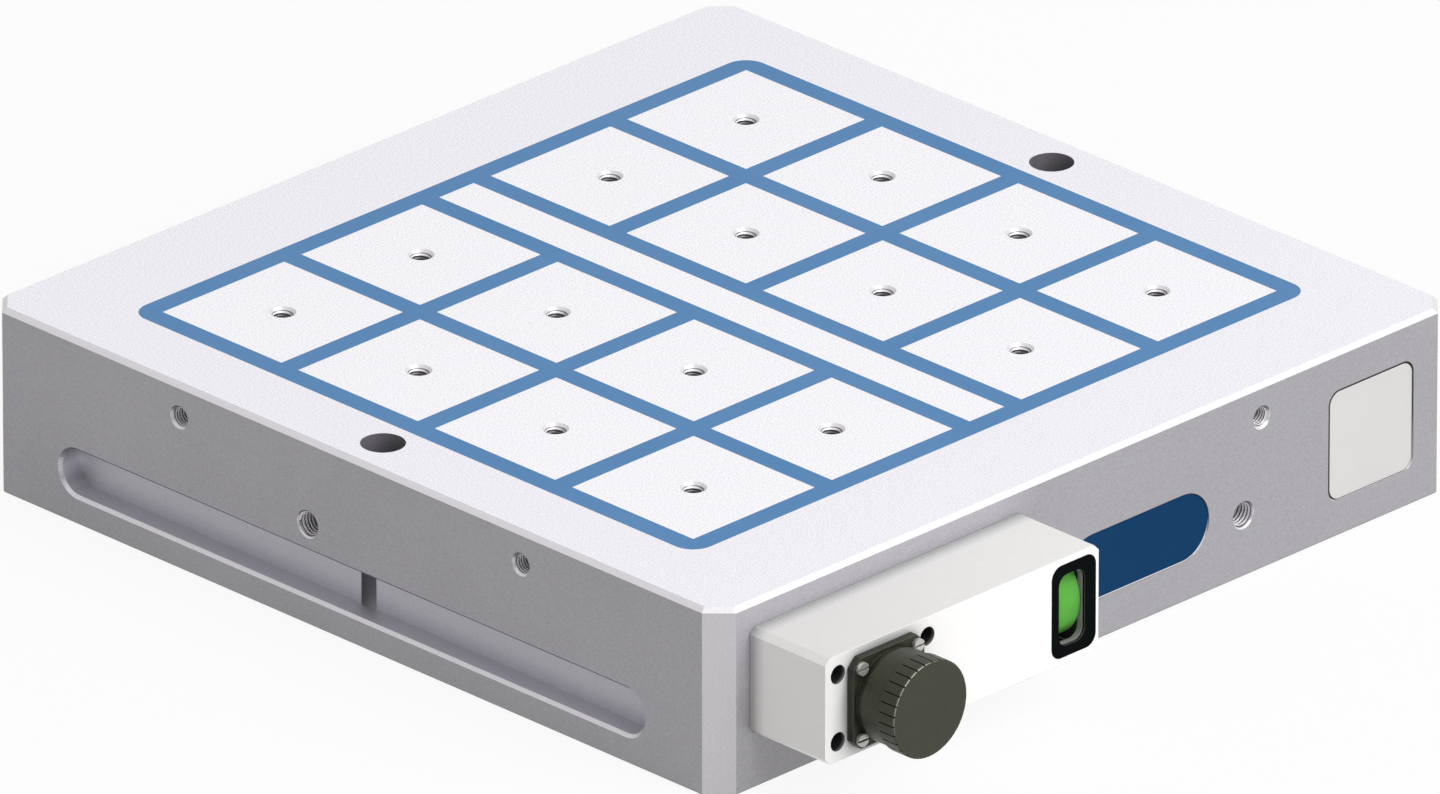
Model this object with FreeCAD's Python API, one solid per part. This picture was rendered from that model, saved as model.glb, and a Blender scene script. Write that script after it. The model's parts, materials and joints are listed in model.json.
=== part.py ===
import FreeCAD, Part
import os
from math import cos, pi, sin, sqrt

# Square pole magnetic chuck with its connector box and its state indicator.
# Millimetres, +Z up. The origin is the centre of the plate's bottom face.
# The connector side is the front and faces -Y, and +X is to the right seen from there.

# Pole grid
pole_side = 50.0
pole_gap = 7.1                  # resin gap round every pole
bar_width = 14.4                # steel bar between the two halves of the grid
columns_each_side = 2
row_count = 4
side_land = 24.5                # rim left and right of the pocket
end_land = 35.25                # rim in front of and behind the pocket

# Heights, which add up to the plate
floor_thickness = 14.0
core_height = 18.0
pole_height = 28.0

# Edges of the plate
corner_bevel = 7.0
top_bevel = 1.5
bottom_bevel = 0.5

# Magnets and coils under and between the poles
core_radius = 20.0
coil_gap = 3.1                  # between neighbouring coils
coil_corner_radius = 14.0
resin_cover = 10.0              # resin above the side magnets
side_magnet_inset = 3.0         # from the corners of the poles

# Tapped holes, drawn at the thread's full diameter
m6_radius = 3.0
m6_depth = 12.0
pole_flare = 1.0                # countersink of the holes on top
m6_flare = 0.75                 # countersink of the holes in the side faces
m8_radius = 4.0
m8_depth = 16.0
m8_flare = 0.45

# Places of the tapped holes in the side faces
stop_hole_drop = 10.8           # below the top face
stop_hole_reach_y = 71.3        # from the middle, on the left and right faces
stop_hole_reach_x = 71.8        # from the middle, on the front and back faces
lift_hole_side_y = 17.5
lift_hole_side_z = 32.5
lift_hole_end_x = 64.3
lift_hole_end_z = 20.0

# Bolt holes for the machine table, and the clamping slots in both sides
table_hole_radius = 6.75
table_hole_from_edge = 13.9
slot_depth = 7.9
slot_height = 14.6
slot_centre_z = 16.5
slot_end_margin = 31.2          # from the end of the slot to the plate's face
slot_mouth_bevel = 1.0

# Screws that hold poles and bar from below
pole_screw_radius = 4.0
pole_screw_clearance = 0.5
pole_screw_head_radius = 6.5
pole_screw_head_height = 8.0
pole_screw_key = 6.0
pole_screw_grip = 11.5          # thread length in the pole
pole_screw_bore_depth = 13.0
counterbore_radius = 7.25
counterbore_depth = 8.5

# Bare plates in shallow recesses of the front face
recess_depth = 0.8
plate_thickness = 0.4
name_plate_length = 60.0
name_plate_height = 21.9
name_plate_centre_x = 20.0
name_plate_centre_z = 23.95
info_plate_side = 36.0
info_plate_corner_radius = 4.5
info_plate_from_right = 35.0
info_plate_centre_z = 29.5

# Connector box on the front face, as deep and as high as the indicator's drum needs
box_length = 112.7
box_roof = 1.4                  # above and below the indicator's housing
box_bevel = 2.0
box_gasket_thickness = 0.6
box_centre_z = 34.9
box_left_of_connector = 23.55
connector_from_left = 36.1      # from the plate's left face to the connector's axis
box_front_wall = 10.0
chamber_width = 28.6
chamber_wall = 3.0              # above and below the chamber

# Screws of the connector box
box_screw_spacing_x = 36.6
box_screw_spacing_z = 21.5
box_screw_radius = 1.5
box_screw_clearance = 0.2
box_screw_head_radius = 2.75
box_screw_head_height = 3.0
box_screw_key = 2.5
box_screw_sink_radius = 3.0
box_screw_sink_depth = 22.0
box_screw_grip = 7.1
box_screw_bore_depth = 10.0

# Receptacle: square flange, collar and barrel
flange_edge = 3.1               # from the screws to the flange's sides
flange_bevel = 3.0
flange_thickness = 2.1
flange_gasket_thickness = 0.5
flange_screw_gap = 0.672        # from the screws' heads to the collar
flange_screw_radius = 1.25
flange_screw_clearance = 0.1
flange_screw_head_radius = 2.05
flange_screw_head_height = 1.2
flange_screw_slot_width = 0.6
flange_screw_slot_depth = 0.6
flange_screw_grip = 7.0
flange_screw_bore_depth = 8.0
collar_radius = 13.4
collar_length = 2.3
barrel_radius = 12.4
barrel_length = 9.6
barrel_edge = 0.4
socket_radius = 10.0
rear_barrel_radius = 10.8
rear_barrel_length = 9.5
rear_bore_radius = 9.0
rear_barrel_clearance = 0.3
socket_floor_thickness = 0.5    # from the back of the flange to the insert's seat

# Contacts
insert_shoulder_length = 3.0
insert_rear_length = 9.0
pin_radius = 0.8
pin_count_on_ring = 6
pin_ring_radius = 5.5
pin_front_length = 5.5
pin_rear_length = 3.0

# Leads from the contacts to the coils
lead_radius = 0.9
lead_ring_radius = 2.6
lead_straight = 3.0
lead_bend_radius = 6.0
lead_reach = 12.0               # into the pocket, where the first coil's wall ends them
lead_hole_radius = 4.5
lead_hole_below_coil_top = 1.0
grommet_length = 8.0
grommet_lip_radius = 5.5
grommet_lip_thickness = 1.5

# Links that join the coils in one chain, row by row
link_radius = 0.9
link_clearance = 0.5            # in the bar's holes
link_offset = 10.0              # from the middle of the coils' sides
link_below_coil_top = 4.0

# Screw cap
cap_clearance = 0.35            # round the barrel
cap_rear_gap = 0.4              # to the collar
cap_skirt_radius = 14.6
cap_skirt_length = 7.8
cap_grip_radius = 15.2
cap_grip_length = 6.4
cap_end_thickness = 3.5
cap_edge = 0.4
cap_groove_count = 30
cap_groove_width = 0.5
cap_groove_depth = 0.45
cap_groove_phase = 3.0
cap_gasket_radius = 12.45
cap_gasket_thickness = 1.2

# State indicator
bezel_rim_z = 0.45              # beyond the drum
bezel_corner_radius = 4.0
bezel_thickness = 3.3
bezel_plate_thickness = 0.4     # black face on the grey housing
bezel_end_margin = 1.07         # to the box's right end
sight_margin_x = 3.8            # to the bezel's sides
sight_margin_z = 3.45
sight_corner_radius = 3.5
sight_shift = 0.7               # the sight opening lies a little to the left
cheek_thickness = 1.4
housing_roof = 0.8
housing_corner_radius = 1.5
window_thickness = 0.7          # behind the black face
window_ledge = 0.6
drum_radius = 14.5
drum_length = 10.0
drum_side_gap = 0.4
drum_radial_gap = 0.35
drum_front_gap = 0.6            # to the window
drum_back_gap = 0.8             # to the floor of the relief in the plate
drum_relief_depth = 0.6
drum_shaft_radius = 1.0
drum_shaft_play = 0.05
drum_shaft_end_gap = 0.2
drum_magnet_radius = 2.5
drum_magnet_length = 18.0

# Worked out from the sizes above
vector = FreeCAD.Vector
right, back, up = vector(1, 0, 0), vector(0, 1, 0), vector(0, 0, 1)
left, front, down = right * -1, back * -1, up * -1
pitch = pole_side + pole_gap
coil_side = pitch - coil_gap
side_magnet_length = pole_side - 2 * side_magnet_inset
column_count = 2 * columns_each_side
grid_x = bar_width + column_count * pole_side + (column_count + 2) * pole_gap
grid_y = row_count * pole_side + (row_count + 1) * pole_gap
plate_x = grid_x + 2 * side_land
plate_y = grid_y + 2 * end_land
plate_height = floor_thickness + core_height + pole_height
coil_top = floor_thickness + core_height
bar_length = grid_y - 2 * pole_gap
first_column = bar_width / 2 + pole_gap + pole_side / 2
right_columns = [first_column + i * pitch for i in range(columns_each_side)]
column_places = [-x for x in reversed(right_columns)] + right_columns
row_places = [(i - (row_count - 1) / 2) * pitch for i in range(row_count)]
plate_front = -plate_y / 2
drum_axis_depth = bezel_plate_thickness + window_thickness + drum_front_gap + drum_radius
drum_reach = drum_axis_depth + drum_radius + drum_back_gap
sight_width = drum_length + 2 * drum_side_gap
housing_width = sight_width + 2 * cheek_thickness
housing_height = 2 * (drum_radius + drum_radial_gap + housing_roof)
bezel_width = sight_width + 2 * sight_margin_x
bezel_height = 2 * (drum_radius + bezel_rim_z)
sight_height = bezel_height - 2 * sight_margin_z
box_depth = drum_reach - drum_relief_depth - box_gasket_thickness
box_height = housing_height + 2 * box_roof
chamber_height = box_height - 2 * chamber_wall
box_back = plate_front - box_gasket_thickness
box_front = box_back - box_depth
connector_x = -plate_x / 2 + connector_from_left
connector_z = box_centre_z
box_left = connector_x - box_left_of_connector
box_right = box_left + box_length
flange_screw_spacing = sqrt(2) * (collar_radius + flange_screw_head_radius + flange_screw_gap)
flange_side = flange_screw_spacing + 2 * flange_edge
flange_back = flange_gasket_thickness
flange_front = flange_back + flange_thickness
collar_front = flange_front + collar_length
barrel_front = collar_front + barrel_length
insert_seat = flange_back + socket_floor_thickness
insert_front = insert_seat + insert_shoulder_length
cap_rear = collar_front + cap_rear_gap
cap_grip_rear = cap_rear + cap_skirt_length
cap_front = cap_grip_rear + cap_grip_length
cap_seat = cap_front - cap_end_thickness
indicator_x = box_right - bezel_end_margin - bezel_width / 2
sight_x = indicator_x - sight_shift
drum_axis = vector(sight_x, box_front + drum_axis_depth, box_centre_z)
lead_hole_z = coil_top - lead_hole_below_coil_top - lead_hole_radius
link_z = coil_top - link_below_coil_top


def block(x0, x1, y0, y1, z0, z1):
    return Part.makeBox(x1 - x0, y1 - y0, z1 - z0, vector(x0, y0, z0))


def edges_along(shape, axis):
    chosen = []
    for edge in shape.Edges:
        run = edge.Vertexes[-1].Point - edge.Vertexes[0].Point
        if run.Length > 0 and abs(run.dot(axis)) > 0.999 * run.Length:
            chosen.append(edge)
    return chosen


def edges_at_height(shape, height):
    return [edge for edge in shape.Edges if all(abs(v.Z - height) < 1e-6 for v in edge.Vertexes)]


# Upright rectangle with round corners, from its front plane back by depth
def rounded_front(x, z, width, height, radius, y, depth):
    blank = block(x - width / 2, x + width / 2, y, y + depth, z - height / 2, z + height / 2)
    return blank.makeFillet(radius, edges_along(blank, back))


# Outline with straight sides and round ends
def stadium_wire(centre, along, across, half_length, radius):
    reach = along * (half_length - radius)
    rise = across * radius
    end = along * half_length
    return Part.Wire([
        Part.makeLine(centre - reach + rise, centre + reach + rise),
        Part.Arc(centre + reach + rise, centre + end, centre + reach - rise).toShape(),
        Part.makeLine(centre + reach - rise, centre - reach - rise),
        Part.Arc(centre - reach - rise, centre - end, centre - reach + rise).toShape(),
    ])


# Hole with a 45 degree countersink at its mouth
def sunk_hole(mouth, inward, radius, depth, flare):
    hole = Part.makeCylinder(radius, depth, mouth, inward)
    return hole.fuse(Part.makeCone(radius + flare, radius, flare, mouth, inward))


# Socket head screw: seat is the point under the head, and the shank points inward
def socket_screw(seat, inward, head_radius, head_height, radius, length, key):
    head = Part.makeCylinder(head_radius, head_height, seat, inward * -1)
    shank = Part.makeCylinder(radius, length, seat, inward)
    top = seat - inward * head_height
    side = inward.cross(right)
    corner = key / 2 / cos(pi / 6)
    turns = [i * pi / 3 for i in range(7)]
    outline = [top + right * (corner * cos(a)) + side * (corner * sin(a)) for a in turns]
    key_hole = Part.Face(Part.makePolygon(outline)).extrude(inward * (head_height / 2))
    return head.fuse(shank).cut(key_hole)


# Point on the connector's axis, at a distance in front of the box
def on_axis(distance, x=0.0, z=0.0):
    return vector(connector_x + x, box_front - distance, connector_z + z)


# Body turned about the connector's axis, from pairs of radius and distance in front of the box
def turned(pairs):
    points = [on_axis(distance, x=radius) for radius, distance in pairs]
    section = Part.Face(Part.makePolygon(points + points[:1]))
    return section.revolve(on_axis(0), front, 360)


def square_of(spacing_x, spacing_z):
    return [(i * spacing_x / 2, k * spacing_z / 2) for i in (-1, 1) for k in (-1, 1)]


flange_screw_places = square_of(flange_screw_spacing, flange_screw_spacing)
box_screw_places = square_of(box_screw_spacing_x, box_screw_spacing_z)
ring_angles = [i * 2 * pi / pin_count_on_ring for i in range(pin_count_on_ring)]
pin_directions = [(0.0, 0.0)] + [(sin(a), cos(a)) for a in ring_angles]
screw_places = [(x, y) for x in column_places for y in row_places]
bar_screw_places = [(0.0, y) for y in row_places]


def pocket_shape():
    pocket = block(-grid_x / 2, grid_x / 2, -grid_y / 2, grid_y / 2, floor_thickness, plate_height)
    return pocket.makeFillet(pole_gap, edges_along(pocket, up))


def pole_blank(x, y):
    half = pole_side / 2
    return block(x - half, x + half, y - half, y + half, coil_top, plate_height)


def coil_blank(x, y):
    half = coil_side / 2
    coil = block(x - half, x + half, y - half, y + half, floor_thickness, coil_top)
    return coil.makeFillet(coil_corner_radius, edges_along(coil, up))


# Clamping slot of one side face, with its bevelled mouth
def side_slot(side):
    mouth = vector(side.x * plate_x / 2, 0, slot_centre_z)
    half = plate_y / 2 - slot_end_margin
    radius = slot_height / 2
    groove = Part.Face(stadium_wire(mouth, back, up, half, radius)).extrude(side * -slot_depth)
    wide = stadium_wire(mouth, back, up, half + slot_mouth_bevel, radius + slot_mouth_bevel)
    narrow = stadium_wire(mouth - side * slot_mouth_bevel, back, up, half, radius)
    return groove.fuse(Part.makeLoft([wide, narrow], True, True))


def name_plate_outline(y, thickness):
    centre = vector(name_plate_centre_x, y, name_plate_centre_z)
    half = name_plate_length / 2
    wire = stadium_wire(centre, right, up, half, name_plate_height / 2)
    return Part.Face(wire).extrude(back * thickness)


def info_plate_outline(y, thickness):
    x = plate_x / 2 - info_plate_from_right
    side = info_plate_side
    return rounded_front(x, info_plate_centre_z, side, side, info_plate_corner_radius, y, thickness)


# Tapped holes of the four side faces. The back repeats the front, turned half round,
# and has both stop holes, because no box covers one there.
def side_face_holes():
    stop_z = plate_height - stop_hole_drop
    tools = []
    for side in (left, right):
        face_x = side.x * plate_x / 2
        for y in (-stop_hole_reach_y, stop_hole_reach_y):
            tools.append(sunk_hole(vector(face_x, y, stop_z), side * -1, m6_radius, m6_depth, m6_flare))
        lift = vector(face_x, -side.x * lift_hole_side_y, lift_hole_side_z)
        tools.append(sunk_hole(lift, side * -1, m8_radius, m8_depth, m8_flare))
    for side, stops in ((front, (1,)), (back, (-1, 1))):
        face_y = side.y * plate_y / 2
        for k in stops:
            stop = vector(k * stop_hole_reach_x, face_y, stop_z)
            tools.append(sunk_hole(stop, side * -1, m6_radius, m6_depth, m6_flare))
        lift = vector(-side.y * lift_hole_end_x, face_y, lift_hole_end_z)
        tools.append(sunk_hole(lift, side * -1, m8_radius, m8_depth, m8_flare))
    return tools


def screw_bores():
    bore_radius = pole_screw_radius + pole_screw_clearance
    tools = []
    for x, y in screw_places + bar_screw_places:
        foot = vector(x, y, 0)
        tools.append(Part.makeCylinder(counterbore_radius, counterbore_depth, foot, up))
        tools.append(Part.makeCylinder(bore_radius, floor_thickness, foot, up))
    return tools


# The plate's body: one block with a pocket, which its floor closes below
def chuck_body():
    body = block(-plate_x / 2, plate_x / 2, -plate_y / 2, plate_y / 2, 0, plate_height)
    body = body.makeChamfer(corner_bevel, edges_along(body, up))
    body = body.makeChamfer(top_bevel, edges_at_height(body, plate_height))
    body = body.makeChamfer(bottom_bevel, edges_at_height(body, 0))
    tools = [pocket_shape(), side_slot(left), side_slot(right)]
    for side in (-1, 1):
        foot = vector(side * (plate_x / 2 - table_hole_from_edge), 0, 0)
        tools.append(Part.makeCylinder(table_hole_radius, plate_height, foot, up))
    tools += side_face_holes() + screw_bores()
    tools.append(name_plate_outline(plate_front, recess_depth))
    tools.append(info_plate_outline(plate_front, recess_depth))
    for x, z in box_screw_places:
        mouth = vector(connector_x + x, plate_front, connector_z + z)
        tools.append(Part.makeCylinder(box_screw_radius, box_screw_bore_depth, mouth, back))
    tools.append(indicator_pocket(plate_front, drum_relief_depth))
    lead_mouth = vector(connector_x, plate_front, lead_hole_z)
    tools.append(Part.makeCylinder(lead_hole_radius, end_land + pole_gap / 2, lead_mouth, back))
    return body.cut(tools)


def pole(x, y):
    top = vector(x, y, plate_height)
    foot = vector(x, y, coil_top)
    stop_hole = sunk_hole(top, down, m6_radius, m6_depth, pole_flare)
    screw_hole = Part.makeCylinder(pole_screw_radius, pole_screw_bore_depth, foot, up)
    return pole_blank(x, y).cut([stop_hole, screw_hole])


def bar_blank():
    half = bar_width / 2
    return block(-half, half, -bar_length / 2, bar_length / 2, floor_thickness, plate_height)


def centre_bar():
    holes = []
    for x, y in bar_screw_places:
        foot = vector(x, y, floor_thickness)
        holes.append(Part.makeCylinder(pole_screw_radius, pole_screw_bore_depth, foot, up))
    for y in row_places:
        start = vector(-bar_width / 2, y + link_offset, link_z)
        holes.append(Part.makeCylinder(link_radius + link_clearance, bar_width, start, right))
    return bar_blank().cut(holes)


# Reversible magnet under one pole, a ring that the pole screw passes
def core(x, y):
    foot = vector(x, y, floor_thickness)
    disc = Part.makeCylinder(core_radius, core_height, foot, up)
    bore_radius = pole_screw_radius + pole_screw_clearance
    return disc.cut(Part.makeCylinder(bore_radius, core_height, foot, up))


def coil(x, y):
    foot = vector(x, y, floor_thickness)
    return coil_blank(x, y).cut(Part.makeCylinder(core_radius, core_height, foot, up))


# Links of one row, from coil to coil, and one link to the next row at alternate ends
def coil_links():
    half = coil_side / 2
    links = []
    for y in row_places:
        for x, next_x in zip(column_places, column_places[1:]):
            start = vector(x + half, y + link_offset, link_z)
            links.append(Part.makeCylinder(link_radius, next_x - x - coil_side, start, right))
    for row, y in enumerate(row_places[:-1]):
        x = column_places[-1] if row % 2 == 0 else column_places[0]
        start = vector(x + link_offset, y + half, link_z)
        links.append(Part.makeCylinder(link_radius, pitch - coil_side, start, back))
    return links


# Magnets that stand in the gaps between neighbouring columns, and at both rims
def magnets_between_columns():
    right_gaps = [x - pole_side / 2 - pole_gap / 2 for x in right_columns]
    right_gaps.append(right_columns[-1] + pole_side / 2 + pole_gap / 2)
    half_gap, half_length = pole_gap / 2, side_magnet_length / 2
    top = plate_height - resin_cover
    return [
        block(x - half_gap, x + half_gap, y - half_length, y + half_length, coil_top, top)
        for x in [-gap for gap in right_gaps] + right_gaps
        for y in row_places
    ]


# Magnets that stand in the gaps between neighbouring rows, and at both rims
def magnets_between_rows():
    gaps = [y - pitch / 2 for y in row_places] + [row_places[-1] + pitch / 2]
    half_gap, half_length = pole_gap / 2, side_magnet_length / 2
    top = plate_height - resin_cover
    return [
        block(x - half_length, x + half_length, y - half_gap, y + half_gap, coil_top, top)
        for x in column_places
        for y in gaps
    ]


# One lead: straight behind its contact, down through the box, then straight through the
# plate's wall to the first coil
def lead(direction_x, direction_z):
    pin_end = box_front + insert_rear_length - insert_seat + pin_rear_length
    start = vector(
        connector_x + pin_ring_radius * direction_x, pin_end, connector_z + pin_ring_radius * direction_z
    )
    first = start + back * lead_straight
    second = vector(
        connector_x + lead_ring_radius * direction_x,
        plate_front - grommet_lip_thickness - lead_straight,
        lead_hole_z + lead_ring_radius * direction_z,
    )
    last = vector(second.x, plate_front + end_land + lead_reach, second.z)
    path = bent_path([start, first, second, last], lead_bend_radius)
    section = Part.Wire(Part.makeCircle(lead_radius, start, back))
    run = path.makePipeShell([section], True, False)
    return run.cut(coil_blank(column_places[0], row_places[0]))


# Straight runs joined by arcs of one radius
def bent_path(points, radius):
    edges = []
    begin = points[0]
    for before, corner, after in zip(points, points[1:], points[2:]):
        incoming = (corner - before).normalize()
        outgoing = (after - corner).normalize()
        turn = incoming.getAngle(outgoing)
        inset = radius * sin(turn / 2) / cos(turn / 2)
        arc_start = corner - incoming * inset
        arc_end = corner + outgoing * inset
        towards_centre = (outgoing - incoming).normalize()
        drop = radius / cos(turn / 2) - radius
        edges.append(Part.makeLine(begin, arc_start))
        edges.append(Part.Arc(arc_start, corner + towards_centre * drop, arc_end).toShape())
        begin = arc_end
    edges.append(Part.makeLine(begin, points[-1]))
    return Part.Wire(edges)


def winding_leads():
    return [lead(x, z) for x, z in pin_directions]


# Rubber bush in the plate's wall, with a hole for each lead
def lead_grommet():
    mouth = vector(connector_x, plate_front, lead_hole_z)
    bush = Part.makeCylinder(lead_hole_radius, grommet_length, mouth, back)
    lip = Part.makeCylinder(grommet_lip_radius, grommet_lip_thickness, mouth, front)
    holes = []
    for x, z in pin_directions:
        start = mouth + right * (lead_ring_radius * x) + up * (lead_ring_radius * z)
        start = start + front * grommet_lip_thickness
        length = grommet_lip_thickness + grommet_length
        holes.append(Part.makeCylinder(lead_radius, length, start, back))
    return bush.fuse(lip).cut(holes)


# Everything that the pocket has round its steel, ground flush with the poles
def potting_resin():
    tools = [bar_blank()]
    for x, y in screw_places:
        tools.append(pole_blank(x, y).fuse(coil_blank(x, y)))
    tools += magnets_between_columns() + magnets_between_rows() + winding_leads() + coil_links()
    return pocket_shape().cut(tools)


def pole_screw(x, y, length_to_thread):
    seat = vector(x, y, counterbore_depth)
    length = length_to_thread + pole_screw_grip
    return socket_screw(
        seat, up, pole_screw_head_radius, pole_screw_head_height, pole_screw_radius, length, pole_screw_key
    )


def pole_screws():
    return [pole_screw(x, y, coil_top - counterbore_depth) for x, y in screw_places]


def bar_screws():
    return [pole_screw(x, y, floor_thickness - counterbore_depth) for x, y in bar_screw_places]


def box_blank(y0, y1):
    z0 = box_centre_z - box_height / 2
    blank = block(box_left, box_right, y0, y1, z0, z0 + box_height)
    return blank.makeChamfer(box_bevel, edges_along(blank, back))


def chamber(y0, y1):
    half_x, half_z = chamber_width / 2, chamber_height / 2
    x0, z0 = connector_x - half_x, connector_z - half_z
    room = block(x0, x0 + chamber_width, y0, y1, z0, z0 + chamber_height)
    lip_room = grommet_lip_radius + rear_barrel_clearance
    lip_centre = vector(connector_x, y0, lead_hole_z)
    return room.fuse(Part.makeCylinder(lip_room, y1 - y0, lip_centre, back))


def indicator_pocket(y, depth):
    return rounded_front(
        sight_x, box_centre_z, housing_width, housing_height, housing_corner_radius, y, depth
    )


# Bezel between two depths behind the box's face, and its sight opening
def bezel_blank(face, rear):
    return rounded_front(
        indicator_x, box_centre_z, bezel_width, bezel_height, bezel_corner_radius, box_front + face,
        rear - face
    )


def sight_opening(ledge, face, rear):
    return rounded_front(
        sight_x, box_centre_z, sight_width + 2 * ledge, sight_height + 2 * ledge,
        sight_corner_radius + ledge, box_front + face, rear - face
    )


def connector_box():
    tools = [chamber(box_front + box_front_wall, box_back), bezel_blank(0, bezel_thickness)]
    tools.append(indicator_pocket(box_front + bezel_thickness, box_depth - bezel_thickness))
    bore_radius = rear_barrel_radius + rear_barrel_clearance
    tools.append(Part.makeCylinder(bore_radius, box_front_wall, on_axis(0), back))
    for x, z in flange_screw_places:
        tools.append(Part.makeCylinder(flange_screw_radius, flange_screw_bore_depth, on_axis(0, x, z), back))
    hole_radius = box_screw_radius + box_screw_clearance
    for x, z in box_screw_places:
        tools.append(Part.makeCylinder(box_screw_sink_radius, box_screw_sink_depth, on_axis(0, x, z), back))
        tools.append(Part.makeCylinder(hole_radius, box_depth, on_axis(0, x, z), back))
    return box_blank(box_front, box_back).cut(tools)


def box_gasket():
    tools = [chamber(box_back, plate_front), indicator_pocket(box_back, box_gasket_thickness)]
    hole_radius = box_screw_radius + box_screw_clearance
    for x, z in box_screw_places:
        mouth = vector(connector_x + x, box_back, connector_z + z)
        tools.append(Part.makeCylinder(hole_radius, box_gasket_thickness, mouth, back))
    return box_blank(box_back, plate_front).cut(tools)


def box_screws():
    length = box_depth - box_screw_sink_depth + box_gasket_thickness + box_screw_grip
    return [
        socket_screw(
            on_axis(-box_screw_sink_depth, x, z), back, box_screw_head_radius, box_screw_head_height,
            box_screw_radius, length, box_screw_key
        )
        for x, z in box_screw_places
    ]


# Square plate with bevelled corners and four screw holes, between two distances from the box
def flange_plate(rear, face):
    half = flange_side / 2
    y0, y1 = box_front - face, box_front - rear
    plate = block(connector_x - half, connector_x + half, y0, y1, connector_z - half, connector_z + half)
    plate = plate.makeChamfer(flange_bevel, edges_along(plate, back))
    radius = flange_screw_radius + flange_screw_clearance
    holes = [
        Part.makeCylinder(radius, face - rear, on_axis(rear, x, z), front) for x, z in flange_screw_places
    ]
    return plate.cut(holes)


def receptacle_shell():
    rear = flange_back - rear_barrel_length
    tube = turned([
        (rear_bore_radius, rear),
        (rear_barrel_radius, rear),
        (rear_barrel_radius, flange_front),
        (collar_radius, flange_front),
        (collar_radius, collar_front),
        (barrel_radius, collar_front),
        (barrel_radius, barrel_front - barrel_edge),
        (barrel_radius - barrel_edge, barrel_front),
        (socket_radius + barrel_edge, barrel_front),
        (socket_radius, barrel_front - barrel_edge),
        (socket_radius, insert_seat),
        (rear_bore_radius, insert_seat),
    ])
    opening = Part.makeCylinder(rear_barrel_radius, flange_thickness, on_axis(flange_back), front)
    return flange_plate(flange_back, flange_front).cut(opening).fuse(tube).removeSplitter()


def flange_gasket():
    opening_radius = rear_barrel_radius + rear_barrel_clearance
    opening = Part.makeCylinder(opening_radius, flange_gasket_thickness, on_axis(0), front)
    return flange_plate(0, flange_back).cut(opening)


# Slotted screw of the flange, its slot level
def flange_screw(x, z):
    seat = on_axis(flange_front, x, z)
    head = Part.makeCylinder(flange_screw_head_radius, flange_screw_head_height, seat, front)
    length = flange_thickness + flange_gasket_thickness + flange_screw_grip
    shank = Part.makeCylinder(flange_screw_radius, length, seat, back)
    half_slot = flange_screw_slot_width / 2
    slot_y = seat.y - flange_screw_head_height
    reach = flange_screw_head_radius
    slot = block(
        seat.x - reach, seat.x + reach, slot_y, slot_y + flange_screw_slot_depth,
        seat.z - half_slot, seat.z + half_slot
    )
    return head.fuse(shank).cut(slot)


def flange_screws():
    return [flange_screw(x, z) for x, z in flange_screw_places]


def pin_places():
    return [(pin_ring_radius * x, pin_ring_radius * z) for x, z in pin_directions]


def receptacle_insert():
    insert_rear = insert_seat - insert_rear_length
    disc = turned([
        (0, insert_rear),
        (rear_bore_radius, insert_rear),
        (rear_bore_radius, insert_seat),
        (socket_radius, insert_seat),
        (socket_radius, insert_front),
        (0, insert_front),
    ])
    length = insert_front - insert_rear
    holes = [Part.makeCylinder(pin_radius, length, on_axis(insert_rear, x, z), front) for x, z in pin_places()]
    return disc.cut(holes)


def contact_pins():
    rear = insert_seat - insert_rear_length - pin_rear_length
    length = insert_front + pin_front_length - rear
    return [Part.makeCylinder(pin_radius, length, on_axis(rear, x, z), front) for x, z in pin_places()]


# Cap with a smooth skirt, a grooved grip and a flat end
def cap_shell():
    bore_radius = barrel_radius + cap_clearance
    shell = turned([
        (0, cap_seat),
        (bore_radius, cap_seat),
        (bore_radius, cap_rear + cap_edge),
        (bore_radius + cap_edge, cap_rear),
        (cap_skirt_radius - cap_edge, cap_rear),
        (cap_skirt_radius, cap_rear + cap_edge),
        (cap_skirt_radius, cap_grip_rear),
        (cap_grip_radius, cap_grip_rear),
        (cap_grip_radius, cap_front - cap_edge),
        (cap_grip_radius - cap_edge, cap_front),
        (0, cap_front),
    ])
    floor_radius = cap_grip_radius - cap_groove_depth
    half = cap_groove_width / 2
    cutter = block(
        connector_x + floor_radius, connector_x + cap_grip_radius + cap_groove_depth,
        box_front - cap_front, box_front - cap_grip_rear, connector_z - half, connector_z + half
    )
    grooves = []
    for i in range(cap_groove_count):
        groove = cutter.copy()
        groove.rotate(on_axis(0), front, cap_groove_phase + i * 360 / cap_groove_count)
        grooves.append(groove)
    return shell.cut(grooves)


def cap_gasket():
    return Part.makeCylinder(cap_gasket_radius, cap_gasket_thickness, on_axis(cap_seat), back)


def bezel_plate():
    return bezel_blank(0, bezel_plate_thickness).cut(sight_opening(0, 0, bezel_plate_thickness))


# Grey housing: a bezel behind the black plate, and two cheeks that carry the drum
def indicator_housing():
    inner_height = 2 * (drum_radius + drum_radial_gap)
    depth = box_depth - bezel_thickness
    body = indicator_pocket(box_front + bezel_thickness, depth)
    room = block(
        sight_x - sight_width / 2, sight_x + sight_width / 2,
        box_front + bezel_thickness, box_back,
        box_centre_z - inner_height / 2, box_centre_z + inner_height / 2
    )
    reach = sight_width / 2 + cheek_thickness
    bearing_radius = drum_shaft_radius + drum_shaft_play
    bearings = Part.makeCylinder(bearing_radius, 2 * reach, drum_axis + left * reach, right)
    bezel = bezel_blank(bezel_plate_thickness, bezel_thickness)
    opening = sight_opening(0, bezel_plate_thickness, bezel_thickness)
    return bezel.fuse(body).cut([room, opening, indicator_window(), bearings])


# Clear pane between the black face and a ledge in the housing
def indicator_window():
    return sight_opening(window_ledge, bezel_plate_thickness, bezel_plate_thickness + window_thickness)


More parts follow.
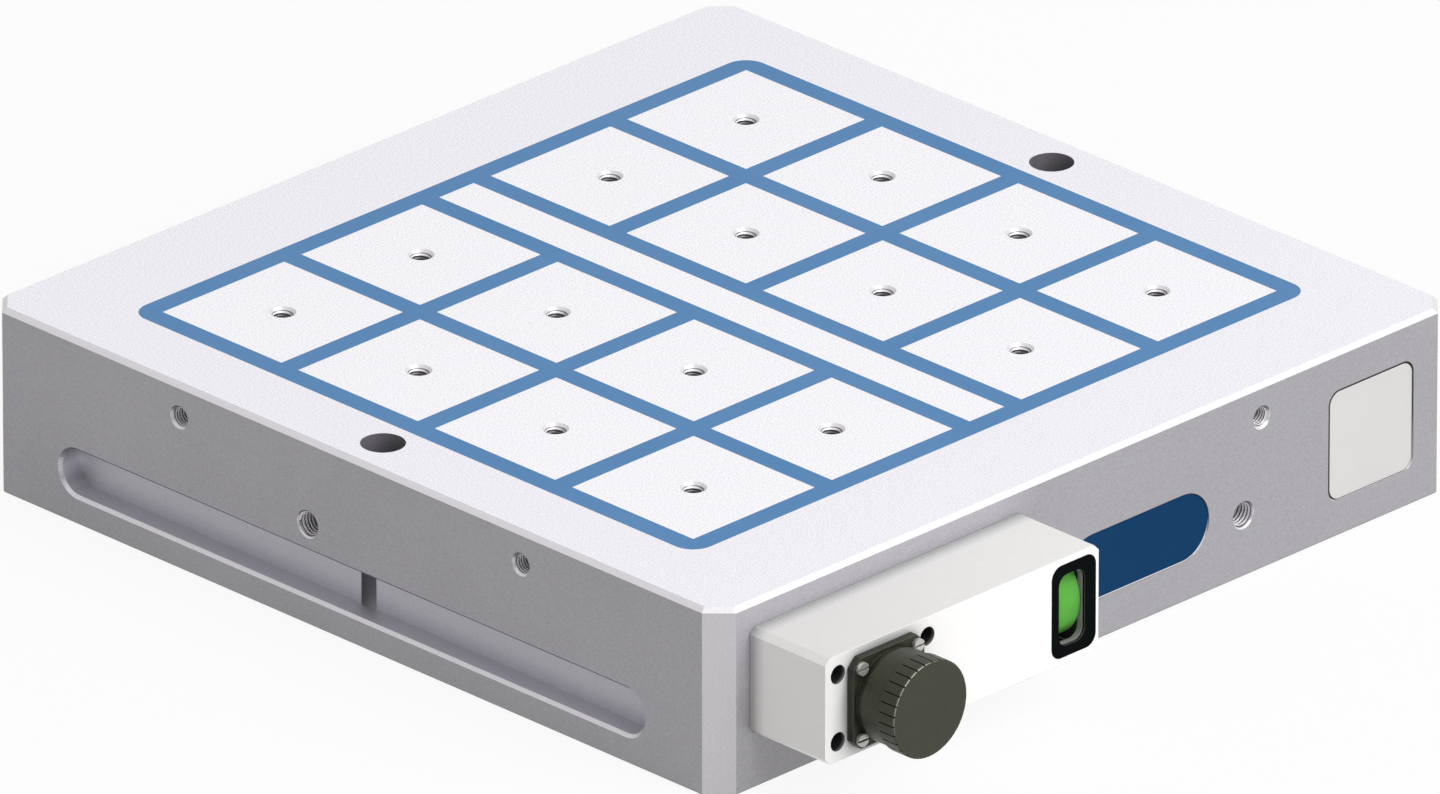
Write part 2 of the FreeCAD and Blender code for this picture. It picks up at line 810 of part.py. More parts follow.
def drum_shaft():
    half = drum_length / 2 + drum_side_gap + cheek_thickness - drum_shaft_end_gap
    return Part.makeCylinder(drum_shaft_radius, 2 * half, drum_axis + left * half, right)


# Bar magnet across the drum, which the field of the plate turns
def drum_magnet():
    half = drum_magnet_length / 2
    bar = Part.makeCylinder(drum_magnet_radius, drum_magnet_length, drum_axis + front * half, back)
    return bar.cut(drum_shaft())


# Half of the two-coloured drum, on the side given
def drum_half(side):
    half = drum_length / 2
    round_blank = Part.makeCylinder(drum_radius, drum_length, drum_axis + left * half, right)
    y0, y1 = sorted((drum_axis.y, drum_axis.y + side.y * drum_radius))
    keep = block(
        drum_axis.x - half, drum_axis.x + half, y0, y1,
        drum_axis.z - drum_radius, drum_axis.z + drum_radius
    )
    magnet_room = Part.makeCylinder(
        drum_magnet_radius, drum_magnet_length, drum_axis + front * (drum_magnet_length / 2), back
    )
    return round_blank.common(keep).cut([magnet_room, drum_shaft()])


def name_plate():
    y = plate_front + recess_depth - plate_thickness
    return name_plate_outline(y, plate_thickness)


def info_plate():
    y = plate_front + recess_depth - plate_thickness
    return info_plate_outline(y, plate_thickness)


def write_node(name, solids):
    shape = Part.makeCompound(solids) if isinstance(solids, list) else solids
    if not isinstance(solids, list) and len(shape.Solids) == 1:
        shape = shape.Solids[0]
    shape.exportStep("parts/" + name + ".step")


def write_all():
    os.makedirs("parts", exist_ok=True)
    write_node("chuck_body", chuck_body())
    write_node("centre_bar", centre_bar())
    write_node("potting_resin", potting_resin())
    for row, y in enumerate(row_places, 1):
        for column, x in enumerate(column_places, 1):
            write_node(f"pole_row{row}_column{column}", pole(x, y))
        write_node(f"magnet_cores_row{row}", [core(x, y) for x in column_places])
        write_node(f"coils_row{row}", [coil(x, y) for x in column_places])
    write_node("magnets_between_columns", magnets_between_columns())
    write_node("magnets_between_rows", magnets_between_rows())
    write_node("pole_screws", pole_screws())
    write_node("bar_screws", bar_screws())
    write_node("name_plate", name_plate())
    write_node("info_plate", info_plate())
    write_node("connector_box", connector_box())
    write_node("box_gasket", box_gasket())
    write_node("box_screws", box_screws())
    write_node("receptacle_shell", receptacle_shell())
    write_node("receptacle_insert", receptacle_insert())
    write_node("contact_pins", contact_pins())
    write_node("flange_gasket", flange_gasket())
    write_node("flange_screws", flange_screws())
    write_node("winding_leads", winding_leads())
    write_node("lead_grommet", lead_grommet())
    write_node("coil_links", coil_links())
    write_node("cap_shell", cap_shell())
    write_node("cap_gasket", cap_gasket())
    write_node("bezel_plate", bezel_plate())
    write_node("indicator_housing", indicator_housing())
    write_node("indicator_window", indicator_window())
    write_node("drum_green_half", drum_half(front))
    write_node("drum_red_half", drum_half(back))
    write_node("drum_shaft", drum_shaft())
    write_node("drum_magnet", drum_magnet())


write_all()
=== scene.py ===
import bmesh
import bpy
import json
import math
from mathutils import Matrix, Vector


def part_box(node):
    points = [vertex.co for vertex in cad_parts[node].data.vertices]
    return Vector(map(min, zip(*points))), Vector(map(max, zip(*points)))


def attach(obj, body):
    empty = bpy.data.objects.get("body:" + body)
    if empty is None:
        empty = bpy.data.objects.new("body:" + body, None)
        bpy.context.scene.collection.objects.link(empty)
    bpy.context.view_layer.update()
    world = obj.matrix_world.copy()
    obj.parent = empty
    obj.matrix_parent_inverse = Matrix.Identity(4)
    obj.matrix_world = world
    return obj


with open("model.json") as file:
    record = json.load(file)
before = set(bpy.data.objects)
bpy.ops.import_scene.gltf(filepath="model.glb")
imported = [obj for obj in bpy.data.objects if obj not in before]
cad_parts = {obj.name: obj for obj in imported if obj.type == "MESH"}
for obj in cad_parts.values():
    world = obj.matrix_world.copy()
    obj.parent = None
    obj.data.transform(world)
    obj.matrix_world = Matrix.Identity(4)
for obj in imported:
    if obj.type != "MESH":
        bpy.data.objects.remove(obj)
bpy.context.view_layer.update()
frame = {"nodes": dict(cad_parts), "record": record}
nodes = frame["nodes"]
mm = 0.001
print("frame loaded:", len(nodes), "nodes")


# Shader helpers

def newTree(name):
    material = bpy.data.materials.new(name)
    material.use_nodes = True
    tree = material.node_tree
    tree.nodes.clear()
    return material, tree


def addNode(tree, kind, values=None, **settings):
    node = tree.nodes.new(kind)
    for key, value in settings.items():
        setattr(node, key, value)
    for key, value in (values or {}).items():
        node.inputs[key].default_value = value
    return node


def link(tree, source, target):
    tree.links.new(source, target)


def newGroup(name, inputs, outputs):
    group = bpy.data.node_groups.new(name, "ShaderNodeTree")
    for label, kind, value in inputs:
        socket = group.interface.new_socket(name=label, in_out="INPUT", socket_type=kind)
        socket.default_value = value
    for label, kind in outputs:
        group.interface.new_socket(name=label, in_out="OUTPUT", socket_type=kind)
    return group, addNode(group, "NodeGroupInput"), addNode(group, "NodeGroupOutput")


def placeGroup(tree, group, values):
    node = addNode(tree, "ShaderNodeGroup", node_tree=group)
    for key, value in values.items():
        node.inputs[key].default_value = value
    return node


groupLook = {
    "grainDetail": 3.0,
    "grainRoughness": 0.65,
    "mottleDetail": 4.0,
    "mottleRoughness": 0.55,
    "edgeSamples": 6,
    "edgeStart": 0.995,         # likeness of the rounded and the plain normal where the edge mask starts
    "edgeFull": 0.86,           # and where it is 1
    "shadeSamples": 8,
}


# Fine cast or blasted grain: a height for bumps and a slow mottle for colour and gloss
def makeGrainGroup():
    group, given, made = newGroup(
        "blastedGrain",
        [("Grain Size", "NodeSocketFloat", 900.0), ("Mottle Size", "NodeSocketFloat", 18.0)],
        [("Height", "NodeSocketFloat"), ("Mottle", "NodeSocketFloat")],
    )
    place = addNode(group, "ShaderNodeTexCoord")
    fine = addNode(group, "ShaderNodeTexNoise", {
        "Detail": groupLook["grainDetail"], "Roughness": groupLook["grainRoughness"]
    })
    slow = addNode(group, "ShaderNodeTexNoise", {
        "Detail": groupLook["mottleDetail"], "Roughness": groupLook["mottleRoughness"]
    })
    link(group, place.outputs["Object"], fine.inputs["Vector"])
    link(group, place.outputs["Object"], slow.inputs["Vector"])
    link(group, given.outputs["Grain Size"], fine.inputs["Scale"])
    link(group, given.outputs["Mottle Size"], slow.inputs["Scale"])
    link(group, fine.outputs["Fac"], made.inputs["Height"])
    link(group, slow.outputs["Fac"], made.inputs["Mottle"])
    return group


# Rounded normal at sharp edges, and a mask that is 1 on the edge itself
def makeEdgeGroup():
    group, given, made = newGroup(
        "softEdge",
        [("Radius", "NodeSocketFloat", 0.0004)],
        [("Normal", "NodeSocketVector"), ("Edge", "NodeSocketFloat")],
    )
    rounded = addNode(group, "ShaderNodeBevel", samples=groupLook["edgeSamples"])
    surface = addNode(group, "ShaderNodeNewGeometry")
    likeness = addNode(group, "ShaderNodeVectorMath", operation="DOT_PRODUCT")
    mask = addNode(group, "ShaderNodeMapRange", {
        "From Min": groupLook["edgeStart"], "From Max": groupLook["edgeFull"]
    })
    link(group, given.outputs["Radius"], rounded.inputs["Radius"])
    link(group, rounded.outputs["Normal"], likeness.inputs[0])
    link(group, surface.outputs["Normal"], likeness.inputs[1])
    link(group, likeness.outputs["Value"], mask.inputs["Value"])
    link(group, rounded.outputs["Normal"], made.inputs["Normal"])
    link(group, mask.outputs["Result"], made.inputs["Edge"])
    return group


# Factor below 1 where other surfaces stand close
def makeShadeGroup(name, ownOnly):
    group, given, made = newGroup(
        name,
        [("Reach", "NodeSocketFloat", 0.008), ("Strength", "NodeSocketFloat", 0.5)],
        [("Factor", "NodeSocketFloat")],
    )
    room = addNode(group, "ShaderNodeAmbientOcclusion", samples=groupLook["shadeSamples"], only_local=ownOnly)
    missing = addNode(group, "ShaderNodeMath", {0: 1.0}, operation="SUBTRACT")
    loss = addNode(group, "ShaderNodeMath", operation="MULTIPLY")
    factor = addNode(group, "ShaderNodeMath", {0: 1.0}, operation="SUBTRACT", use_clamp=True)
    link(group, given.outputs["Reach"], room.inputs["Distance"])
    link(group, room.outputs["AO"], missing.inputs[1])
    link(group, missing.outputs[0], loss.inputs[0])
    link(group, given.outputs["Strength"], loss.inputs[1])
    link(group, loss.outputs[0], factor.inputs[1])
    link(group, factor.outputs[0], made.inputs["Factor"])
    return group


grainGroup = makeGrainGroup()
edgeGroup = makeEdgeGroup()
ownShadeGroup = makeShadeGroup("ownShade", True)
nearShadeGroup = makeShadeGroup("nearShade", False)


noiseBounds = (0.3, 0.7)        # between them lies nearly all of a noise's output


# Value mapped from one range to another
def mapped(tree, source, low, high, fromLow=noiseBounds[0], fromHigh=noiseBounds[1]):
    node = addNode(tree, "ShaderNodeMapRange", {
        "From Min": fromLow, "From Max": fromHigh, "To Min": low, "To Max": high
    })
    link(tree, source, node.inputs["Value"])
    return node.outputs["Result"]


# Mask that goes from 0 to 1 as the value goes from one bound to the other
def step(tree, value, zeroAt, oneAt):
    return mapped(tree, value, 0.0, 1.0, zeroAt, oneAt)


def combine(tree, operation, first, second=None):
    node = addNode(tree, "ShaderNodeMath", operation=operation)
    for socket, value in zip(node.inputs, (first, second)):
        if hasattr(value, "is_linked"):
            link(tree, value, socket)
        elif value is not None:
            socket.default_value = value
    return node.outputs[0]


def product(tree, *masks):
    whole = masks[0]
    for mask in masks[1:]:
        whole = combine(tree, "MULTIPLY", whole, mask)
    return whole


def splitVector(tree, source):
    parts = addNode(tree, "ShaderNodeSeparateXYZ")
    link(tree, source, parts.inputs["Vector"])
    return parts.outputs


def flatLength(tree, first, second):
    flat = addNode(tree, "ShaderNodeCombineXYZ")
    link(tree, first, flat.inputs[0])
    link(tree, second, flat.inputs[1])
    length = addNode(tree, "ShaderNodeVectorMath", operation="LENGTH")
    link(tree, flat.outputs[0], length.inputs[0])
    return length.outputs["Value"]


def placeParts(tree):
    return splitVector(tree, addNode(tree, "ShaderNodeTexCoord").outputs["Object"])


def normalParts(tree):
    return splitVector(tree, addNode(tree, "ShaderNodeNewGeometry").outputs["True Normal"])


# Mixed value of two, each a number, a colour or a socket
def mixed(tree, factor, first, second, kind="RGBA"):
    node = addNode(tree, "ShaderNodeMix", data_type=kind, clamp_factor=True)
    offset = 6 if kind == "RGBA" else 2
    sockets = (node.inputs[0], node.inputs[offset], node.inputs[offset + 1])
    for socket, value in zip(sockets, (factor, first, second)):
        if hasattr(value, "is_linked"):
            link(tree, value, socket)
        else:
            socket.default_value = (*value, 1.0) if isinstance(value, tuple) else value
    return node.outputs[2 if kind == "RGBA" else 0]


def scaled(tree, colour, factor):
    node = addNode(tree, "ShaderNodeVectorMath", operation="SCALE")
    link(tree, colour, node.inputs[0])
    link(tree, factor, node.inputs["Scale"])
    return node.outputs["Vector"]


# Places on the real object that the masks below need, in metres
plateLow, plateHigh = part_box("chuck_body")
boxLow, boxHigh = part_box("connector_box")
shellLow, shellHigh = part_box("receptacle_shell")
capLow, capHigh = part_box("cap_shell")
nameLow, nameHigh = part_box("name_plate")
infoLow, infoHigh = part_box("info_plate")
connectorX = (shellLow.x + shellHigh.x) / 2
connectorZ = (shellLow.z + shellHigh.z) / 2
capRadius = (capHigh.x - capLow.x) / 2
faceLook = {
    "fade": 0.1 * mm,           # width of a sharp border
    "topDepth": 0.3 * mm,       # how far down faces still belong to the top
    "slotDepth": 7.9 * mm,
    "slotMargin": 0.3 * mm,
    "slotLength": 250.0 * mm,
    "slotLip": 1.0 * mm,
    "slotLow": 8.2 * mm,
    "slotHigh": 24.8 * mm,
    "slotEndPaintedShade": 9.5 * mm,
    "slotEndFade": 5.0 * mm,
    "slotBandPaintedHighlight": 5.0 * mm,
    "boltHoleInset": 13.9 * mm,
    "boltHoleRadius": 6.75 * mm,
    "boltHoleFade": 1.0 * mm,
    "boltHoleMargin": 0.02 * mm,
    "countersink": 0.72 * mm,   # its bright part, above the painted shade
    "sinkSpacingX": 36.6 * mm,
    "sinkSpacingZ": 21.5 * mm,
    "sinkRadius": 3.0 * mm,
    "sinkMargin": 0.03 * mm,
    "sinkFade": 1.5 * mm,
    "housingDepth": 3.0 * mm,
    "housingFade": 0.5 * mm,
    "capRim": 0.22 * mm,
    "capRimDim": 0.6,           # lean to the upper left, in radii, where the rim's painted highlight starts
    "capRimBright": 1.2,        # and where it is full
    "gripLength": 6.3 * mm,
    "gripGroove": 0.06 * mm,
    "rimFade": 0.03 * mm,
    "nameRim": 0.3 * mm,
    "nameFade": 5.0 * mm,
    "infoCorner": 4.5 * mm,
    "infoRim": 0.42 * mm,
    "infoLowRim": 0.2 * mm,
    "infoFade": 15.0 * mm,
    "hiddenAbove": 0.66,        # height of the strip hidden above as a share of the depth
    "glowHigh": 1.5 * mm,
    "glowEdge": 1.0 * mm,
    "glowPast": 6.0 * mm,       # where the box's painted light ends, right of the box
    "glowFull": 12.0 * mm,      # and where it is full, left of that end of the box
    "boxTopFade": 40.0 * mm,
    "crestDim": 0.45,
    "crestBright": 0.85,
}
# Shares of a normal along a direction at which a mask is 0 and 1
slopes = {
    "straight": (0.9, 0.95),
    "up": (0.25, 0.6),
    "down": (0.2, 0.5),
    "notStraight": (0.95, 0.85),
    "corner": (0.45, 0.49),
    "boxEnd": (0.6, 0.9),
    "wall": (0.6, 0.4),
    "capChamfer": (0.55, 0.65),
    "notCapFace": (0.85, 0.78),
    "capSide": (0.4, 0.3),
}


def negated(tree, value):
    return combine(tree, "MULTIPLY", value, -1.0)


def magnitude(tree, value):
    return combine(tree, "ABSOLUTE", value)


# Top face
def topMask(tree):
    low = plateHigh.z - faceLook["topDepth"]
    return product(
        tree, step(tree, placeParts(tree)[2], low, low + faceLook["fade"]),
        step(tree, normalParts(tree)[2], *slopes["straight"])
    )


# Painted light on slopes that look up, as chamfers and the lower parts of countersinks do
def upSlopePaintedLightMask(tree):
    high = normalParts(tree)[2]
    return product(tree, step(tree, high, *slopes["up"]), step(tree, high, *slopes["notStraight"]))


# Painted shade on slopes that look down
def downSlopePaintedShadeMask(tree):
    low = negated(tree, normalParts(tree)[2])
    return product(tree, step(tree, low, *slopes["down"]), step(tree, low, *slopes["notStraight"]))


# Painted highlight on the cut bevels of the plate's four upright corners
def cornerPaintedHighlightMask(tree):
    parts = normalParts(tree)
    return step(tree, magnitude(tree, product(tree, parts[0], parts[1])), *slopes["corner"])


# Room inside the clamping slots, whose walls get painted light
def slotMask(tree):
    parts = placeParts(tree)
    across, along = magnitude(tree, parts[0]), magnitude(tree, parts[1])
    fade = faceLook["fade"]
    reach = faceLook["slotLength"] / 2
    far = plateHigh.x - faceLook["slotDepth"] - faceLook["slotMargin"]
    near = plateHigh.x - faceLook["slotLip"]
    return product(
        tree,
        step(tree, across, far - fade, far),
        step(tree, across, near + fade / 2, near),
        step(tree, along, reach + fade, reach),
        step(tree, parts[2], faceLook["slotLow"] - fade, faceLook["slotLow"]),
        step(tree, parts[2], faceLook["slotHigh"] + fade, faceLook["slotHigh"]),
    )


# Painted light on the slots' walls, from the low colour at the bottom to the high one at the top
def slotPaintedGradientMask(tree):
    height = placeParts(tree)[2]
    return product(tree, slotMask(tree), step(tree, height, faceLook["slotLow"], faceLook["slotHigh"]))


# Painted shade at the round ends of the slots, with a painted highlight band at half height
def slotEndPaintedShadeMask(tree):
    along = magnitude(tree, placeParts(tree)[1])
    start = faceLook["slotLength"] / 2 - faceLook["slotEndPaintedShade"]
    return product(tree, slotMask(tree), step(tree, along, start, start + faceLook["slotEndFade"]))


def slotBandPaintedHighlightMask(tree):
    middle = (faceLook["slotLow"] + faceLook["slotHigh"]) / 2
    away = magnitude(tree, combine(tree, "SUBTRACT", placeParts(tree)[2], middle))
    return product(tree, slotEndPaintedShadeMask(tree), step(tree, away, faceLook["slotBandPaintedHighlight"], 0.0))


# Holes for the table bolts, their walls darkened with painted shade
def boltHoleMask(tree):
    parts = placeParts(tree)
    across = combine(tree, "SUBTRACT", magnitude(tree, parts[0]), plateHigh.x - faceLook["boltHoleInset"])
    radius = faceLook["boltHoleRadius"]
    return step(
        tree, flatLength(tree, across, parts[1]), radius + faceLook["fade"],
        radius + faceLook["boltHoleMargin"]
    )


# Their lower part, seen through the slots, lightened with painted light
def boltHoleLowPaintedLightMask(tree):
    low = faceLook["slotHigh"]
    return product(
        tree, boltHoleMask(tree), step(tree, placeParts(tree)[2], low + faceLook["boltHoleFade"], low)
    )


# Painted shade in the pole holes, below the bright part of their countersinks
def poleHolePaintedShadeMask(tree):
    low = plateHigh.z - faceLook["countersink"] - faceLook["fade"] / 2
    return step(tree, placeParts(tree)[2], low, low - faceLook["fade"])


# Painted shade on the walls of the four deep holes that the box's screws sit in
def sinkPaintedShadeMask(tree):
    parts = placeParts(tree)
    gaps = []
    rows = ((parts[0], connectorX, "sinkSpacingX"), (parts[2], connectorZ, "sinkSpacingZ"))
    for part, centre, spacing in rows:
        away = magnitude(tree, combine(tree, "SUBTRACT", part, centre))
        gaps.append(combine(tree, "SUBTRACT", away, faceLook[spacing] / 2))
    radius = faceLook["sinkRadius"]
    return product(
        tree, step(tree, flatLength(tree, *gaps), radius + faceLook["fade"], radius + faceLook["sinkMargin"]),
        step(tree, parts[1], boxLow.y, boxLow.y + faceLook["sinkFade"])
    )


# Painted shade on the ends of the box, a little darker
def boxEndPaintedShadeMask(tree):
    return step(tree, magnitude(tree, normalParts(tree)[0]), *slopes["boxEnd"])


# Painted shade inside the indicator, behind its bezel
def deepHousingPaintedShadeMask(tree):
    start = boxLow.y + faceLook["housingDepth"]
    return step(tree, placeParts(tree)[1], start, start + faceLook["housingFade"])


# Inner edge of the black face, cut through the grey material behind it; its grey is partly painted light on
# the wall
def sightWallGreyAndPaintedLightMask(tree):
    return step(tree, magnitude(tree, normalParts(tree)[1]), *slopes["wall"])


# Painted highlight on the front edge of the cap's chamfer, bright up on the left
def capRimPaintedHighlightMask(tree):
    parts = placeParts(tree)
    slope = negated(tree, normalParts(tree)[1])
    depth = combine(tree, "SUBTRACT", parts[1], capLow.y)
    leftwards = combine(tree, "SUBTRACT", connectorX, parts[0])
    lean = combine(tree, "ADD", leftwards, combine(tree, "SUBTRACT", parts[2], connectorZ))
    return product(
        tree, step(tree, slope, *slopes["capChamfer"]), step(tree, slope, *slopes["notCapFace"]),
        step(tree, depth, faceLook["capRim"], faceLook["capRim"] - faceLook["fade"] / 2),
        step(tree, lean, faceLook["capRimDim"] * capRadius, faceLook["capRimBright"] * capRadius)
    )


# Painted shade in the grooves round the cap's grip
def capGroovePaintedShadeMask(tree):
    parts = placeParts(tree)
    across = combine(tree, "SUBTRACT", parts[0], connectorX)
    high = combine(tree, "SUBTRACT", parts[2], connectorZ)
    outside = capRadius - faceLook["gripGroove"]
    end = capLow.y + faceLook["gripLength"]
    return product(
        tree, step(tree, flatLength(tree, across, high), outside, outside - faceLook["fade"]),
        step(tree, parts[1], end, end - faceLook["fade"] / 2),
        step(tree, magnitude(tree, normalParts(tree)[1]), *slopes["capSide"]),
    )


# How far inside the outline of a plate with round corners a place on its front lies
def rimDistance(tree, low, high, corner):
    parts = placeParts(tree)
    past = []
    for i in (0, 2):
        away = magnitude(tree, combine(tree, "SUBTRACT", parts[i], (low[i] + high[i]) / 2))
        past.append(combine(tree, "SUBTRACT", away, (high[i] - low[i]) / 2 - corner))
    outside = flatLength(tree, *[combine(tree, "MAXIMUM", value, 0.0) for value in past])
    inside = combine(tree, "MINIMUM", combine(tree, "MAXIMUM", *past), 0.0)
    return combine(tree, "SUBTRACT", corner, combine(tree, "ADD", outside, inside))


def rimMask(tree, low, high, corner, width):
    inside = rimDistance(tree, low, high, corner)
    return step(tree, inside, width + faceLook["rimFade"], width - faceLook["rimFade"])


# Upper half of a plate, or the lower one where the fade is negative
def halfMask(tree, low, high, fade):
    away = combine(tree, "SUBTRACT", placeParts(tree)[2], (low.z + high.z) / 2)
    return step(tree, away, 0.0, fade)


def nameRimMask(tree):
    return rimMask(tree, nameLow, nameHigh, (nameHigh.z - nameLow.z) / 2, faceLook["nameRim"])


# Painted shade along the plate's upper rim
def nameTopRimPaintedShadeMask(tree):
    return product(tree, nameRimMask(tree), halfMask(tree, nameLow, nameHigh, faceLook["nameFade"]))


# Painted highlight along the plate's lower rim
def nameLowRimPaintedHighlightMask(tree):
    return product(tree, nameRimMask(tree), halfMask(tree, nameLow, nameHigh, -faceLook["nameFade"]))


# Painted shade in the gap round the sunk plate. The plate is sunk, so the recess hides a strip of it on the
# left and above
def infoRimPaintedShadeMask(tree):
    sunk = infoLow.y - plateLow.y
    low = infoLow + Vector((sunk + faceLook["infoLowRim"], 0, 0))
    high = infoHigh - Vector((0, 0, faceLook["hiddenAbove"] * (sunk + faceLook["infoLowRim"])))
    return rimMask(tree, low, high, faceLook["infoCorner"], faceLook["infoRim"])


# Painted highlight along the plate's lower rim
def infoLowRimPaintedHighlightMask(tree):
    rim = rimMask(tree, infoLow, infoHigh, faceLook["infoCorner"], faceLook["infoLowRim"])
    return product(tree, rim, halfMask(tree, infoLow, infoHigh, -faceLook["infoFade"]))


# Painted light on the part of the plate's front that the bright box throws its light on: above it and left of
# it
def boxBouncePaintedLightMask(tree):
    parts = placeParts(tree)
    above = step(tree, parts[2], boxHigh.z - faceLook["glowHigh"], boxHigh.z)
    beside = product(
        tree, step(tree, parts[0], boxLow.x + faceLook["glowEdge"], boxLow.x - faceLook["glowEdge"]),
        step(tree, parts[2], boxLow.z, (boxLow.z + boxHigh.z) / 2)
    )
    forwards = negated(tree, normalParts(tree)[1])
    return product(
        tree, step(tree, forwards, *slopes["straight"]), combine(tree, "MAXIMUM", above, beside),
        step(tree, parts[0], boxHigh.x + faceLook["glowPast"], boxHigh.x - faceLook["glowFull"])
    )


# Painted shade on the top of the box, a little darker towards its left end
def boxTopPaintedShadeMask(tree):
    return product(
        tree, step(tree, normalParts(tree)[2], *slopes["straight"]),
        step(tree, placeParts(tree)[0], boxHigh.x + faceLook["boxTopFade"], boxLow.x)
    )


# Painted highlight on the crests of the threads
def crestPaintedHighlightMask(tree):
    mark = addNode(tree, "ShaderNodeAttribute", attribute_name="crest")
    return step(tree, mark.outputs["Fac"], faceLook["crestDim"], faceLook["crestBright"])


# Surface finish with grain, mottle, edges lighter for wear and painted sheen, painted shade in corners and
# layers of colour.
# Finishes differ in their numbers only
finishDefaults = {
    "colour": (0.5, 0.5, 0.5),
    "mottleColour": None,       # where the slow mottle is strong, by default a share of the colour
    "mottleShare": 0.94,
    "edgeColour": None,         # on sharp edges, for wear and painted sheen
    "edgeShare": 1.12,
    "areas": (),                # mask and colour of places that differ, shaded as the rest is
    "layers": (),               # mask, colour, roughness and speckle of places that differ, not shaded
    "metallic": 0.0,
    "roughness": (0.4, 0.5),
    "specular": 0.5,
    "grainSize": 900.0,
    "mottleSize": 18.0,
    "speckle": 0.0,             # how far the grain changes the colour
    "bump": 0.15,
    "bumpDepth": 0.00005,
    "edgeRadius": 0.0004,
    "edgeWear": 0.8,
    "shadeGroup": nearShadeGroup,
    "shade": 0.5,               # darkening in corners and holes
    "shadeReach": 0.008,
}


def makeFinish(name, **changes):
    look = {**finishDefaults, **changes}
    material, tree = newTree(name)
    shader = addNode(tree, "ShaderNodeBsdfPrincipled", {
        "Metallic": look["metallic"], "Specular IOR Level": look["specular"]
    })
    out = addNode(tree, "ShaderNodeOutputMaterial")
    grain = placeGroup(tree, grainGroup, {"Grain Size": look["grainSize"], "Mottle Size": look["mottleSize"]})
    edge = placeGroup(tree, edgeGroup, {"Radius": look["edgeRadius"]})
    shade = placeGroup(tree, look["shadeGroup"], {"Reach": look["shadeReach"], "Strength": look["shade"]})
    colour = look["colour"]
    mottleColour = look["mottleColour"] or tuple(look["mottleShare"] * c for c in colour)
    edgeColour = look["edgeColour"] or tuple(min(1.0, look["edgeShare"] * c) for c in colour)
    mottle = step(tree, grain.outputs["Mottle"], *noiseBounds)
    base = mixed(tree, mottle, colour, mottleColour)
    for mask, areaColour in look["areas"]:
        base = mixed(tree, mask(tree), base, areaColour)
    body = scaled(tree, base, shade.outputs["Factor"])
    gloss = mapped(tree, grain.outputs["Mottle"], *look["roughness"])
    speckle = look["speckle"]
    for mask, layerColour, layerGloss, layerSpeckle in look["layers"]:
        layer = mask(tree)
        body = mixed(tree, layer, body, layerColour)
        gloss = mixed(tree, layer, gloss, layerGloss, "FLOAT")
        speckle = mixed(tree, layer, speckle, layerSpeckle, "FLOAT")
    wearAndSheen = combine(tree, "MULTIPLY", edge.outputs["Edge"], look["edgeWear"])
    wornAndSheened = mixed(tree, wearAndSheen, body, edgeColour)
    change = combine(tree, "MULTIPLY", mapped(tree, grain.outputs["Height"], -1.0, 1.0), speckle)
    link(tree, scaled(tree, wornAndSheened, combine(tree, "ADD", change, 1.0)), shader.inputs["Base Color"])
    link(tree, gloss, shader.inputs["Roughness"])
    bump = addNode(tree, "ShaderNodeBump", {"Strength": look["bump"], "Distance": look["bumpDepth"]})
    link(tree, grain.outputs["Height"], bump.inputs["Height"])
    link(tree, edge.outputs["Normal"], bump.inputs["Normal"])
    link(tree, bump.outputs["Normal"], shader.inputs["Normal"])
    link(tree, shader.outputs["BSDF"], out.inputs["Surface"])
    return material


# Clear pane of the indicator
def makePane(name):
    material, tree = newTree(name)
    shader = addNode(tree, "ShaderNodeBsdfPrincipled", {
        "Base Color": (0.97, 0.99, 0.98, 1.0), "Transmission Weight": 1.0, "IOR": 1.05
    })
    out = addNode(tree, "ShaderNodeOutputMaterial")
    grain = placeGroup(tree, grainGroup, {"Grain Size": 400.0, "Mottle Size": 60.0})
    link(tree, mapped(tree, grain.outputs["Mottle"], 0.0, 0.01), shader.inputs["Roughness"])
    link(tree, shader.outputs["BSDF"], out.inputs["Surface"])
    return material


# Steel of plate, poles and bar: ground bright on top, milled and duller on the sides
steelLook = {
    "milled": (0.375, 0.365, 0.388),
    "ground": (0.88, 0.87, 0.925),
    "poleGround": (0.94, 0.93, 0.975),
    # painted light on slopes that look up
    "upSlopePaintedLight": (0.74, 0.72, 0.75),
    # painted shade on slopes that look down
    "under": (0.14, 0.137, 0.15),
    # painted light thrown back from the bright box
    "boxBouncePaintedLight": (0.46, 0.447, 0.485),
    # painted highlight on the corner bevels
    "corner": (0.55, 0.535, 0.56),
    # painted light on the slots' walls, lighter low down
    "slotHighPaintedLight": (0.47, 0.46, 0.50),
    "slotLowPaintedLight": (0.58, 0.57, 0.62),
    # painted shade at the slots' ends and a painted highlight band across them
    "slotEndPaintedShade": (0.40, 0.39, 0.43),
    "slotBandPaintedHighlight": (0.72, 0.705, 0.76),
    # painted shade in the bolt holes, painted light on their lower part
    "boltHolePaintedShade": (0.22, 0.21, 0.23),
    "boltHoleLowPaintedLight": (0.48, 0.47, 0.50),
    # painted shade in the pole holes
    "poleHolePaintedShade": (0.17, 0.165, 0.18),
}


def makeSteel(name, *layers, areas=()):
    return makeFinish(
        name, colour=steelLook["milled"], metallic=0.4, roughness=(0.46, 0.56), grainSize=1900.0,
        mottleSize=14.0, speckle=0.13, bump=0.12, bumpDepth=0.00004, edgeRadius=0.0002, edgeWear=0.5,
        edgeColour=(0.55, 0.545, 0.56), shadeGroup=ownShadeGroup, shade=0.45, shadeReach=0.004, layers=layers,
        areas=areas
    )
